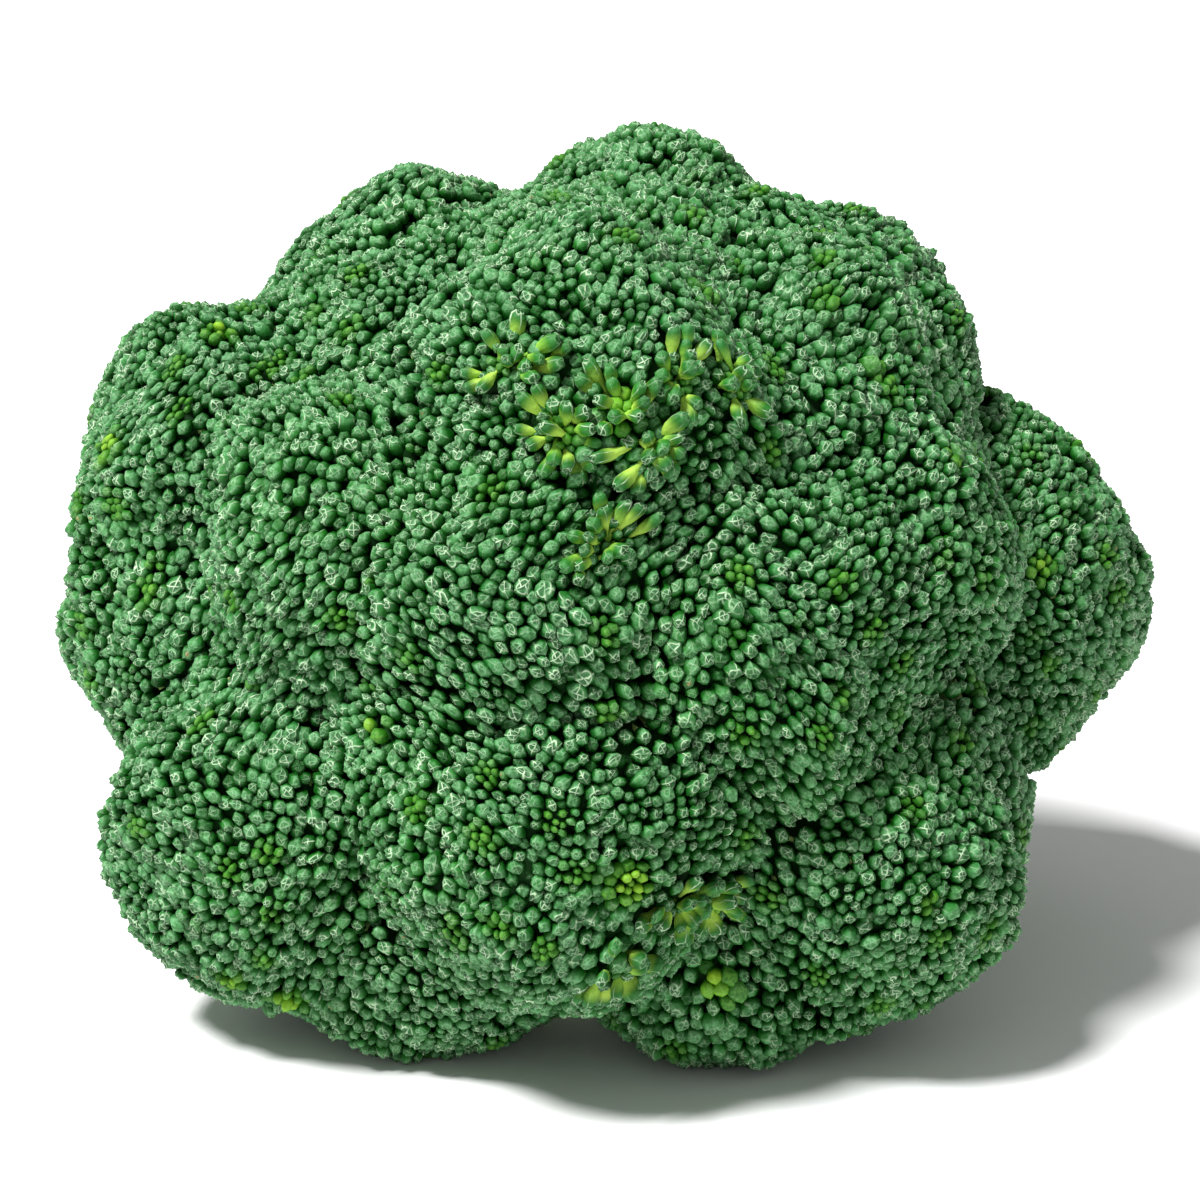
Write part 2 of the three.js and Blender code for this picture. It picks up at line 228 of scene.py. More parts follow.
def turn_to(axis):
    """The rotation that takes +Z to axis, as a 3 by 3 array for row vectors."""
    return np.array(Vector((0, 0, 1)).rotation_difference(Vector(axis)).to_matrix()).T


def sideways(axis):
    """Two directions at right angles to each axis and to each other."""
    first = unit(np.cross(axis, (0.31, 0.59, 0.74)))
    return first, np.cross(axis, first)


def spread_directions(axis, radius, pitch, seed):
    """Directions evenly round an axis, about pitch apart on a ball of that radius, each moved a little."""
    count = round(4 * math.pi * radius**2 / (CLOSE_PACKING * pitch**2))
    i = np.arange(count)
    z = 1 - 2 * (i + 0.5) / count
    ring = np.sqrt(1 - z * z)
    d = np.stack((ring * np.cos(i * GOLDEN_ANGLE), ring * np.sin(i * GOLDEN_ANGLE), z), -1)
    moves = scatter(seed * 1000 + i[:, None] * 3 + np.arange(3))
    d += (moves - 0.5) * 2 * JITTER * pitch / radius
    return unit(d) @ turn_to(axis)


def bend(points):
    """Where the waves move points of the head to."""
    from_cut = (points - HEART) @ CROWN_AXIS + STEM_LENGTH
    level = smooth(from_cut, 0, CUT_FADE)
    upward = level * smooth(points[:, 2], 0, GROUND_FADE)
    x, y, z = points.T
    moved = points.copy()
    for length, size, start in WAVES:
        k = 2 * math.pi / length
        moved[:, 0] += level * size * np.sin(k * (y + WAVE_SLANT * z) + start)
        moved[:, 1] += level * size * np.sin(k * (z + WAVE_SLANT * x) + start + WAVE_SHIFT)
        moved[:, 2] += upward * size * np.sin(k * (x + WAVE_SLANT * y) + start + 2 * WAVE_SHIFT)
    return moved


class Floret:
    """One floret's ball of buds, its place on the crown and the flat faces that its neighbours press."""

    def __init__(self, index, name, lean, clock, reach, radius):
        self.lean = lean
        lean, clock = math.radians(lean), math.radians(clock)
        outward = math.cos(clock) * CROWN_UP + math.sin(clock) * CROWN_RIGHT
        self.name = name
        self.index = index
        self.axis = math.cos(lean) * CROWN_AXIS + math.sin(lean) * outward
        self.middle = HEART + reach * self.axis
        self.radius = radius - SURFACE_INSET
        self.skirt = radius * SKIRT
        self.branch_radius = radius * BRANCH_RADIUS
        self.cone_depth = radius * (SKIRT + CONE_SLOPE * BRANCH_RADIUS)
        self.foot = self.middle - self.axis * self.skirt
        self.umbels = spread_directions(self.axis, self.radius, UMBEL_PITCH, UMBEL_SEED + index)
        order = (UMBEL_SEED + index) * 1000 + np.arange(len(self.umbels)) * 3 + 0.5
        self.rises = UMBEL_RISE * (1 + UMBEL_RISE_VARIES * (2 * scatter(order) - 1))
        self.spreads = UMBEL_SPREAD * (1 + UMBEL_SPREAD_VARIES * (2 * scatter(order + 1) - 1))
        self.youth = smooth(scatter(order + 0.25), 1 - YOUNG_SHARE - 0.1, 1 - YOUNG_SHARE + 0.1)
        self.sizes = 1 + SPACING_VARIES * (2 * scatter(order + 1.25) - 1)
        self.faces = []

    def press(self, others):
        """Finds the flat faces: the surface under the head, and one for each neighbour."""
        near = 2 * (UMBEL_RISE + NEIGHBOUR_GAP + 1)
        self.faces = [(np.array((0, 0, -1.0)), self.middle[2])]
        for other in others:
            across = other.middle - self.middle
            d = np.linalg.norm(across)
            if other is self or d > self.radius + other.radius + near:
                continue
            at = (d * d + self.radius**2 - other.radius**2) / (2 * d)
            self.faces.append((across / d, at - NEIGHBOUR_GAP / 2))

    def from_umbel(self, d):
        """The nearest umbel of each direction, and the distance to its middle."""
        dots = d @ self.umbels.T
        nearest = dots.argmax(1)
        return nearest, np.arccos(np.clip(dots.max(1), -1, 1)) * self.radius

    def open_reach(self, d):
        """How far the ball with its umbels reaches from the middle along each direction."""
        away = np.arccos(np.clip(d @ self.umbels.T, -1, 1)) * self.radius
        umbel = (self.rises * (1 - (away / self.spreads) ** 2)).max(1)
        height = self.middle[2] + d[:, 2] * self.radius
        return self.radius + np.maximum(umbel, -UMBEL_SINK) * smooth(height, 0, REST_FADE)

    def face_reach(self, d, clear=0.0):
        """How far each direction goes before a flat face, less a clearance."""
        limit = np.full(len(d), 1e3)
        for normal, distance in self.faces:
            toward = np.maximum(d @ normal, 1e-6)
            limit = np.minimum(limit, (distance - clear) / toward)
        return limit

    def cone_reach(self, d, share=1.0):
        """How far each direction goes before the underside. A share below 1 hollows the underside out."""
        down = -(d @ self.axis)
        cone = down + CONE_SLOPE * np.sqrt(np.maximum(0, 1 - down * down))
        limit = np.where(cone > 1e-6, self.cone_depth * share / np.maximum(cone, 1e-6), 1e3)
        return np.where(down > 1e-6, np.minimum(limit, self.skirt * share / np.maximum(down, 1e-6)), limit)

    def past_rim(self, d):
        """Distance round the ball beyond the edge of the underside; less than 0 on the open side."""
        rim = math.atan(CONE_SLOPE) + math.acos(self.cone_depth / (self.radius * math.hypot(1, CONE_SLOPE)))
        return (rim - np.arccos(np.clip(-(d @ self.axis), -1, 1))) * self.radius

    def past_faces(self, d):
        """Distance round the ball beyond the edge of the nearest flat face; less than 0 on the open side."""
        past = np.full(len(d), -1e3)
        for normal, distance in self.faces:
            edge = math.acos(max(-1, min(1, distance / self.radius)))
            past = np.maximum(past, edge - np.arccos(np.clip(d @ normal, -1, 1)))
        return past * self.radius

    def valleys(self, d):
        """The direction of each neighbour, and how near each d is to its valley, from 0 to 1."""
        for normal, distance in self.faces[1:]:
            edge = math.acos(max(-1, min(1, distance / self.radius)))
            before = (np.arccos(np.clip(d @ normal, -1, 1)) - edge) * self.radius
            yield normal, 1 - smooth(before, 0, CREASE_WIDTH)

    def surface(self, d):
        """Where the tops of the buds are."""
        filled = sum(near for _, near in self.valleys(d)).clip(0, 2) * CREASE_FILL
        limit = self.face_reach(d, -NEIGHBOUR_GAP / 2)
        return self.middle + d * np.minimum(self.open_reach(d) + filled, limit)[:, None]

    def turn_up(self, d, axis):
        """The same axes, turned away from the other side of a valley."""
        for normal, near in self.valleys(d):
            toward = np.maximum(axis @ normal, 0) * near * CREASE_TURN
            axis = axis - normal * toward[:, None]
        return unit(axis)


def tree_of(points):
    tree = KDTree(len(points))
    for i, p in enumerate(points):
        tree.insert(p, i)
    tree.balance()
    return tree


def spaced(points, spacing, least):
    """Keeps each point that is no nearer to an earlier kept one than that share of their spacing."""
    tree = tree_of(points)
    kept = np.ones(len(points), bool)
    for i, p in enumerate(points):
        if not kept[i]:
            continue
        for _, j, distance in tree.find_range(p, spacing[i] * least):
            if j > i and distance < least * min(spacing[i], spacing[j]):
                kept[j] = False
    return kept


class BudSites:
    """Where the buds of a floret stand, as directions from its middle."""

    LEAST = 0.84  # distance between neighbours before they are spread, in spacings
    NEIGHBOURS = 7
    PUSH = 0.45

    def __init__(self, floret):
        self.floret = floret
        fine = spread_directions(floret.axis, floret.radius, CANDIDATE_PITCH, 100 + floret.index)
        fine = fine[(floret.past_rim(fine) < BUDS_PAST_RIM) & (floret.past_faces(fine) < BUDS_PAST_FACE)]
        fine = fine[random.permutation(len(fine))]
        d = fine[spaced(fine * floret.radius, self.spacing(fine), self.LEAST)]
        d = self.spread(d, 4)
        tree = tree_of(d * floret.radius)
        gap = np.array([tree.find(p)[2] for p in fine * floret.radius])
        extra = fine[gap > self.LEAST * self.spacing(fine)]
        if len(extra):
            extra = extra[spaced(extra * floret.radius, self.spacing(extra), self.LEAST)]
            d = self.spread(np.concatenate((d, extra)), 3)
        self.directions = d
        self.past = np.maximum(floret.past_faces(d), floret.past_rim(d))

    def spacing(self, d):
        floret = self.floret
        number, away = floret.from_umbel(d)
        middle = blend(MIDDLE_SPACING, YOUNG_SPACING, floret.youth[number])
        return blend(middle, GROWN_SPACING, smooth(away, GROWN_FROM, GROWN_AT)) * floret.sizes[number]

    def spread(self, d, rounds):
        """Neighbours that stand too close push each other apart."""
        radius = self.floret.radius
        for _ in range(rounds):
            spacing = self.spacing(d)
            points = d * radius
            tree = tree_of(points)
            near = [tree.find_n(p, self.NEIGHBOURS + 1)[1:] for p in points]
            number = np.array([[found[1] for found in row] for row in near])
            apart = np.array([[found[2] for found in row] for row in near])
            wanted = (spacing[:, None] + spacing[number]) / 2
            push = np.maximum(wanted - apart, 0) * self.PUSH / np.maximum(apart, 0.05)
            d = unit(points + ((points[:, None] - points[number]) * push[..., None]).sum(1))
        return d

    def keep(self, chosen):
        self.directions = self.directions[chosen]
        self.past = self.past[chosen]


def near_places(points, places):
    """From 0 away from the places to 1 in the middle of one."""
    most = np.zeros(len(points))
    for *place, reach in places:
        away = np.linalg.norm(points - place, axis=1)
        most = np.maximum(most, 1 - smooth(away, 0.35 * reach, reach))
    return most


class Shape:
    """A small closed form that is copied many times: rings of points from its tip to its foot."""

    MARGIN = 0.96

    def __init__(self, sides, tip, rings, foot, ridges=None):
        """rings are (radius, height). ridges is how far their even points stand out from the odd ones."""
        ridges = ridges or [(0, 0)] * len(rings)
        points = [(0, 0, tip)]
        flat = [(0, 0)]
        for number, ((radius, height), (out, up)) in enumerate(zip(rings, ridges)):
            far = (number + 1) / (len(rings) + 1)
            for k in range(sides):
                angle = 2 * math.pi * k / sides
                stands = 0.5 if k % 2 == 0 else -0.5
                r = radius * (1 + out * stands)
                points.append((r * math.cos(angle), r * math.sin(angle), height + up * stands))
                flat.append((far * math.cos(angle), far * math.sin(angle)))
        last = len(points)
        points.append((0, 0, foot))
        self.triangles, self.corners = [], []
        for k in range(sides):
            after = (k + 1) % sides
            self._add(flat, 0, 1 + k, 1 + after)
            for ring in range(len(rings) - 1):
                a, b = 1 + ring * sides + k, 1 + ring * sides + after
                self._add(flat, a, a + sides, b + sides)
                self._add(flat, a, b + sides, b)
            a, b = last - sides + k, last - sides + after
            middle = 2 * math.pi * (k + 0.5) / sides
            self.triangles.append((a, last, b))
            self.corners.append((flat[a], (math.cos(middle), math.sin(middle)), flat[b]))
        self.points = np.array(points)
        self.triangles = np.array(self.triangles)
        self.corners = np.array(self.corners)

    def _add(self, flat, *numbers):
        self.triangles.append(numbers)
        self.corners.append([flat[n] for n in numbers])


# The closed buds are short barrels of four sepals that meet in a dimpled tip.
BARREL = Shape(
    8,
    0.84,
    ((0.45, 0.94), (0.88, 0.54), (1.0, -0.15)),
    -1.0,
    ((0.12, 0.13), (0.08, 0.08), (0.07, 0)),
)

# The youngest buds are plain beads, and a flower about to open is a club on a long stalk.
BEAD = Shape(6, 0.95, ((0.66, 0.66), (1.0, -0.1)), -1.0)
CLUB = Shape(
    8,
    0.9,
    ((0.36, 1.0), (0.8, 0.74), (1.0, 0.2), (0.92, -0.45), (0.6, -1.1), (0.34, -1.8), (0.3, -2.6)),
    -2.7,
    ((0.14, 0.14), (0.1, 0.06), (0.08, 0), (0.06, 0), (0.05, 0), (0, 0), (0, 0)),
)


class Growth:
    """Gathers copies of small shapes into one piece of buds."""

    def __init__(self):
        self.points, self.triangles, self.corners = [], [], []
        self.place, self.nature = [], []
        self.count = 0

    def add(self, shape, base, axis, outward, surface, radius, length, growth, uneven):
        """Copies shape to each base, along each axis. growth is 0 for young, less for bright, 1 for grown."""
        count = len(base)
        turn = random.uniform(0, 2 * math.pi, count)
        first, second = sideways(axis)
        across = np.cos(turn)[:, None] * first + np.sin(turn)[:, None] * second
        along = np.cross(axis, across)
        stretch = 1 + random.normal(0, 0.09, count)
        local = shape.points + random.normal(0, uneven, (count, len(shape.points), 3))
        place = (
            base[:, None]
            + local[..., 0, None] * (radius * stretch)[:, None, None] * across[:, None]
            + local[..., 1, None] * (radius / stretch)[:, None, None] * along[:, None]
            + local[..., 2, None] * length[:, None, None] * axis[:, None]
        )
        # How far each point stands out past its umbel's surface; the bud shader uses it to paint shade on the
        # lower parts between buds.
        exposed = ((place - surface[:, None]) * outward[:, None]).sum(-1, keepdims=True)
        shared = np.stack((growth, random.uniform(0, 1, count)), -1)[:, None]
        shared = np.broadcast_to(shared, (*place.shape[:2], 2))
        begins = self.count + np.arange(count) * len(shape.points)
        self.triangles.append((shape.triangles + begins[:, None, None]).reshape(-1, 3))
        self.points.append(place.reshape(-1, 3))
        self.place.append(np.tile(shape.points, (count, 1)))
        self.nature.append(np.concatenate((shared, exposed), -1).reshape(-1, 3))
        self.corners.append((shape.corners, count))
        self.count += count * len(shape.points)

    def make(self, name, material):
        points = np.concatenate(self.points)
        points[:, 2] = np.maximum(points[:, 2], 0)
        piece = mesh_object(name, points, np.concatenate(self.triangles), material)
        give_attribute(piece, "bud_place", np.concatenate(self.place))
        give_attribute(piece, "bud_nature", np.concatenate(self.nature))
        self.bake_places(piece)
        return piece

    def bake_places(self, piece):
        """A map in which each bud has a square of its own."""
        across = math.ceil(math.sqrt(sum(count for _, count in self.corners)))
        made, done = [], 0
        for corners, count in self.corners:
            cell = done + np.arange(count)
            origin = np.stack((cell % across, cell // across), -1)[:, None, None, :]
            made.append(((origin + 0.5 + corners[None] * (0.5 * Shape.MARGIN)) / across).reshape(-1))
            done += count
        layer = piece.data.uv_layers.new(name="OFBake")
        layer.data.foreach_set("uv", np.concatenate(made).astype(np.float32))


def put_in_scene(name, data):
    item = bpy.data.objects.new(name, data)
    bpy.context.scene.collection.objects.link(item)
    return item


def mesh_object(name, points, triangles, material):
    """A mesh from points in mm, bent by the waves."""
    mesh = bpy.data.meshes.new(name)
    mesh.vertices.add(len(points))
    mesh.vertices.foreach_set("co", (bend(np.asarray(points)) * MM).astype(np.float32).ravel())
    mesh.loops.add(triangles.size)
    mesh.loops.foreach_set("vertex_index", triangles.astype(np.int32).ravel())
    mesh.polygons.add(len(triangles))
    mesh.polygons.foreach_set("loop_start", np.arange(0, triangles.size, 3, dtype=np.int32))
    mesh.polygons.foreach_set("use_smooth", np.ones(len(triangles), bool))
    mesh.update(calc_edges=True)
    mesh.materials.append(material)
    return put_in_scene(name, mesh)


def give_attribute(piece, name, values):
    """Stores a vector of three numbers at each point."""
    layer = piece.data.attributes.new(name, "FLOAT_VECTOR", "POINT")
    layer.data.foreach_set("vector", values.astype(np.float32).ravel())


def grow_buds(sites, material):
    """All the buds of a floret, as one piece."""
    floret = sites.floret
    d = sites.directions
    surface = floret.surface(d)
    number, away = floret.from_umbel(d)
    umbel = floret.umbels[number]
    opening = near_places(floret.surface(floret.umbels), OPENING_PLACES)
    opens = opening > OPENS_AT
    yellow = near_places(surface, YELLOW_PLACES)
    youth = np.maximum(floret.youth[number], yellow)
    growth = 1 - (youth + yellow) * (1 - smooth(away, 0.6, blend(3.2, 5.2, yellow)))
    spacing = sites.spacing(d)

    # Long flowers stand in place of some buds of an umbel that is opening.
    falls = unit(d - umbel * (d * umbel).sum(1)[:, None] + 1e-9)
    draw = random.uniform(0, 1, len(d))
    long = opens[number] & (away > FLOWER_FROM) & (draw < FLOWER_SHARE)
    growing = Growth()
    if long.any():
        add_flowers(growing, surface[long], umbel[long], falls[long], away[long])
    stay = ~long
    d, surface, falls, away, growth, spacing, number = (
        part[stay] for part in (d, surface, falls, away, growth, spacing, number)
    )

    slope = BUD_SLOPE * 2 * floret.rises[number] * away / floret.spreads[number] ** 2
    axis = unit(d + falls * slope[:, None] + random.normal(0, BUD_LEAN_VARIES, d.shape))
    axis = floret.turn_up(d, axis)
    count = len(d)
    radius = BUD_FILL * spacing * random.normal(1, BUD_SIZE_VARIES, count).clip(0.72, 1.3)
    length = radius * BUD_LENGTH * random.normal(1, BUD_SIZE_VARIES, count).clip(0.75, 1.4)
    lift = random.normal(0, BUD_LIFT_VARIES, count).clip(-0.5, 0.45) * spacing
    base = surface + axis * lift[:, None] - floret.turn_up(d, d) * (length * BUD_SINK)[:, None]

    bead = spacing < BEAD_SPACING
    for shape, some, uneven in ((BARREL, ~bead, 0.035), (BEAD, bead, 0.05)):
        if some.any():
            chosen = (part[some] for part in (base, axis, d, surface, radius, length, growth))
            growing.add(shape, *chosen, uneven)
    return growing.make(floret.name + "_buds", material)


def add_flowers(growing, surface, umbel, falls, away):
    """Long closed flowers that lean out from the middle of an umbel, the further the nearer its edge."""
    count = len(surface)
    lean = (0.3 + 0.17 * away + random.normal(0, 0.16, count)).clip(0.15, 1.25)[:, None]
    axis = unit(np.cos(lean) * umbel + np.sin(lean) * falls + random.normal(0, 0.1, surface.shape))
    radius = random.uniform(*FLOWER_RADIUS, count)
    length = radius * random.uniform(*FLOWER_LENGTH, count)
    base = surface + umbel * random.uniform(*FLOWER_RISE, count)[:, None]
    growing.add(CLUB, base, axis, umbel, surface, radius, length, np.full(count, FLOWER_GROWTH), 0.04)


def grow_core(floret, material):
    """The body under the buds, dark green with painted shade, hollowed underneath."""
    ball = bmesh.new()
    bmesh.ops.create_icosphere(ball, subdivisions=3, radius=1)
    d = unit(np.array([v.co for v in ball.verts]))
    triangles = np.array([[v.index for v in f.verts] for f in ball.faces])
    ball.free()
    reach = np.minimum(floret.open_reach(d) - CORE_DEPTH, floret.face_reach(d, CORE_TOUCH))
    hollow = RIM_HOLLOW if floret.lean > RIM_LEAN else CORE_HOLLOW
    reach = np.minimum(reach, floret.cone_reach(d, hollow))
    points = floret.middle + d * reach[:, None]
    points[:, 2] = np.maximum(points[:, 2], GROUND_CLEARANCE)
    return mesh_object(floret.name + "_core", points, triangles, material)


class Tubes:
    """Gathers tapered tubes into one mesh."""

    def __init__(self):
        self.points, self.triangles = [], []
        self.count = 0

    def add(self, middles, radii, sides, flutes=None):
        """A closed tube along a line of points. flutes scales the radius by (ring, angle)."""
        along = unit(np.gradient(middles, axis=0))
        rings = len(middles)
        first, second = sideways(along)
        angle = 2 * math.pi * np.arange(sides) / sides
        r = np.asarray(radii)[:, None] * (np.ones((rings, sides)) if flutes is None else flutes(angle))
        out = np.cos(angle)[:, None] * first[:, None] + np.sin(angle)[:, None] * second[:, None]
        ring = middles[:, None] + r[..., None] * out
        points = np.concatenate((ring.reshape(-1, 3), middles[:1], middles[-1:]))
        k = np.arange(sides)
        after = (k + 1) % sides
        a = np.arange(rings - 1)[:, None] * sides + k
        b = np.arange(rings - 1)[:, None] * sides + after
        walls = np.concatenate((np.stack((a, b, b + sides), -1), np.stack((a, b + sides, a + sides), -1)))
        near, far = rings * sides, rings * sides + 1
        last = (rings - 1) * sides
        ends = np.concatenate((
            np.stack((np.full(sides, near), after, k), -1),
            np.stack((np.full(sides, far), last + k, last + after), -1),
        ))
        self.points.append(points)
        self.triangles.append(np.concatenate((walls.reshape(-1, 3), ends)) + self.count)
        self.count += len(points)

    def arrays(self):
        return np.concatenate(self.points), np.concatenate(self.triangles)


def curve_points(start, knee, end, shares):
    t = np.asarray(shares)[:, None]
    return (1 - t) ** 2 * start + 2 * t * (1 - t) * knee + t * t * end


def grow_branchlets(floret, material):
    """Pale branchlets that fan out from the end of the branch to the umbels round the rim, and fork there."""
    tubes = Tubes()
    umbels = floret.umbels
    past = np.maximum(floret.past_rim(umbels), floret.past_faces(umbels))
    chosen = (floret.past_rim(umbels) > -0.75 * floret.radius) & (past < 1.5)
    for umbel in umbels[chosen]:
        end = floret.middle + umbel * (floret.radius - BRANCHLET_DEPTH)
        out = unit(umbel - floret.axis * (umbel @ floret.axis))
        root = floret.foot - floret.axis + out * floret.branch_radius * 0.45
        run = np.linalg.norm(end - root)
        knee = root + unit(0.75 * floret.axis + out) * run * 0.5
        line = curve_points(root, knee, end, BRANCHLET_STOPS)
        wide = floret.branch_radius * random.uniform(*BRANCHLET_WIDTH)
        tubes.add(line, blend(wide, BRANCHLET_TIP, BRANCHLET_STOPS**0.7), 7)
        add_twigs(tubes, floret, line, umbel)
    if not tubes.points:
        return None
    points, triangles = tubes.arrays()
    points[:, 2] = np.maximum(points[:, 2], GROUND_CLEARANCE)
    return mesh_object(floret.name + "_branchlets", points, triangles, material)


def add_twigs(tubes, floret, line, umbel):
    """Short twigs off the end of a branchlet, each towards some buds of its umbel."""
    first, second = sideways(umbel)
    for number in range(TWIGS_EACH):
        angle = number * GOLDEN_ANGLE + random.uniform(0, 0.5)
        side = math.cos(angle) * first + math.sin(angle) * second
        d = unit(umbel + side * random.uniform(*TWIG_SPREAD) / floret.radius)
        end = floret.middle + d * (floret.radius - TWIG_DEPTH)
        start = line[3 + number % 3]
        knee = blend(start, end, 0.5) - umbel * 0.6
        tubes.add(curve_points(start, knee, end, TWIG_STOPS), TWIG_RADII, 5)


def grow_stalk(materials):
    """Stem and branches grown together in one skin, cut off square, with trimmed leaf scars up the stem."""
    share, radii = np.array(STEM_PROFILE).T
    stops = np.linspace(-OVERCUT / STEM_LENGTH, share[-1], 40)
    wide = np.interp(stops, share, radii)
    wide[stops < 0.015] = radii[1]
    middles = CUT_MIDDLE + CROWN_AXIS * (stops * STEM_LENGTH)[:, None]

    def flutes(angle):
        depth = smooth(stops / share[-1], 0, 0.3)[:, None] * FLUTE_DEPTH
        return 1 + depth * np.cos(FLUTES * angle[None] + FLUTE_TWIST * stops[:, None] / share[-1])

    tubes = Tubes()
    tubes.add(middles, wide, 40, flutes)
    for floret in florets:
        below = blend(*TRUNK_START, min(1, floret.lean / 100))
        start = HEART - CROWN_AXIS * below
        end = floret.foot + floret.axis * 0.8
        knee = end - floret.axis * BRANCH_BEND * np.linalg.norm(end - start)
        along = np.linspace(BRANCH_ROOT, 1, 12)
        thick = floret.branch_radius * blend(BRANCH_FLARE, 0.98, along)
        tubes.add(curve_points(start, knee, end, along), thick, 16)
    for height, turn in LEAF_SCARS:
        add_scar(tubes, height, turn)
    return skin_over(tubes, materials)


def scar_frame(height, turn):
    """The middle of a leaf scar's face and the direction that it faces."""
    first, second = sideways(CROWN_AXIS)
    turn = math.radians(turn)
    out = math.cos(turn) * first + math.sin(turn) * second
    return CUT_MIDDLE + CROWN_AXIS * height + out * SCAR_OUT, unit(out + 0.25 * CROWN_AXIS)


def add_scar(tubes, height, turn):
    """The foot of a trimmed leaf."""
    face, out = scar_frame(height, turn)
    side = unit(np.cross(out, CROWN_AXIS))
    inward, downward = SCAR_ROOT
    for shift in SCAR_STRANDS:
        top = face + side * shift - out * (0.02 * shift**2 + 0.1)
        root = top - out * inward - CROWN_AXIS * downward
        tubes.add(np.linspace(root, top, len(SCAR_RADII)), SCAR_RADII, 12)


def scar_marks(points):
    """From 0 on the skin to 1 on the trimmed face of a leaf scar."""
    marks = np.zeros(len(points))
    for height, turn in LEAF_SCARS:
        face, out = scar_frame(height, turn)
        side = unit(np.cross(out, CROWN_AXIS))
        up = np.cross(side, out)
        from_face = points - face
        across = np.hypot(from_face @ side / SCAR_SIZE[0], from_face @ up / SCAR_SIZE[1])
        mark = (1 - smooth(across, 0.8, 1.15)) * (np.abs(from_face @ out) < 3)
        marks = np.maximum(marks, mark)
    return marks


def skin_over(tubes, materials):
    """One even skin over all the tubes, smoothed and ribbed, cut at its end and at the surface it lies on."""
    points, triangles = tubes.arrays()
    rough = bpy.data.meshes.new("rough")
    rough.from_pydata((points * MM).tolist(), [], triangles.tolist())
    holder = put_in_scene("rough", rough)
    remesh = holder.modifiers.new("remesh", "REMESH")
    remesh.mode = "VOXEL"
    remesh.voxel_size = SKIN_VOXEL * MM
    rounded = holder.modifiers.new("rounded", "SMOOTH")
    rounded.factor = 0.5
    rounded.iterations = SKIN_ROUNDS
    made = bpy.data.meshes.new_from_object(holder.evaluated_get(bpy.context.evaluated_depsgraph_get()))
    bpy.data.objects.remove(holder)
    points = np.empty((len(made.vertices), 3))
    made.vertices.foreach_get("co", points.ravel())
    points /= MM
    normals = np.empty_like(points)
    made.vertices.foreach_get("normal", normals.ravel())
    points += normals * ribs(points)[:, None]
    made.vertices.foreach_set("co", (bend(points) * MM).astype(np.float32).ravel())
    scars = made.attributes.new("scar", "FLOAT", "POINT")
    scars.data.foreach_set("value", scar_marks(points).astype(np.float32))
    skin = bmesh.new()
    skin.from_mesh(made)
    for face in skin.faces:
        face.smooth = True
    shape_cut(skin, trim(skin, Vector(CUT_MIDDLE) * MM, Vector(CROWN_AXIS)))
    trim(skin, Vector((0, 0, 0)), Vector((0, 0, 1)))
    bmesh.ops.triangulate(skin, faces=skin.faces[:])
    made.clear_geometry()
    made.materials.clear()
    for material in materials:
        made.materials.append(material)
    skin.to_mesh(made)
    skin.free()
    made.name = "stalk_skin"
    return put_in_scene("stalk_skin", made)


def ribs(points):
    """Fine fibres that run up the stem, as height in mm."""
    from_cut = points - CUT_MIDDLE
    up = from_cut @ CROWN_AXIS
    first, second = sideways(CROWN_AXIS)
    angle = np.arctan2(from_cut @ second, from_cut @ first)
    fine = sum(share * np.sin(count * angle + turn * up + start) for count, turn, start, share in RIBS)
    return RIB_HEIGHT * (1 - smooth(up, *RIBS_END)) * fine


def shape_cut(skin, cap):
    """Gives the cut face its own finish, a knife's edge, and a middle that has dried and sunk a little."""
    for edge in cap.edges:
        edge.smooth = False
    rim = cap.verts[:]
    middle = cap.calc_center_median()
    outward = -Vector(CROWN_AXIS) * MM
    bmesh.ops.delete(skin, geom=[cap], context="FACES_ONLY")
    faces = []
    last = rim
    for share, height in CUT_RINGS:
        ring = [skin.verts.new(middle + (v.co - middle) * share + outward * height) for v in rim]
        for i in range(len(rim)):
            faces.append(skin.faces.new((last[i - 1], last[i], ring[i], ring[i - 1])))
        last = ring
    faces.append(skin.faces.new(last))
    for face in faces:
        face.material_index = 1
        face.smooth = True


def trim(skin, place, inward):
    """Cuts off what lies outside a plane and closes the cut with a face, the largest of which is returned."""
    whole = skin.verts[:] + skin.edges[:] + skin.faces[:]
    cutting = bmesh.ops.bisect_plane(
        skin, geom=whole, dist=1e-6, plane_co=place, plane_no=-inward, clear_outer=True
    )
    edges = [e for e in cutting["geom_cut"] if isinstance(e, bmesh.types.BMEdge)]
    filled = bmesh.ops.holes_fill(skin, edges=edges, sides=0)
    return max(filled["faces"], key=lambda face: face.calc_area())


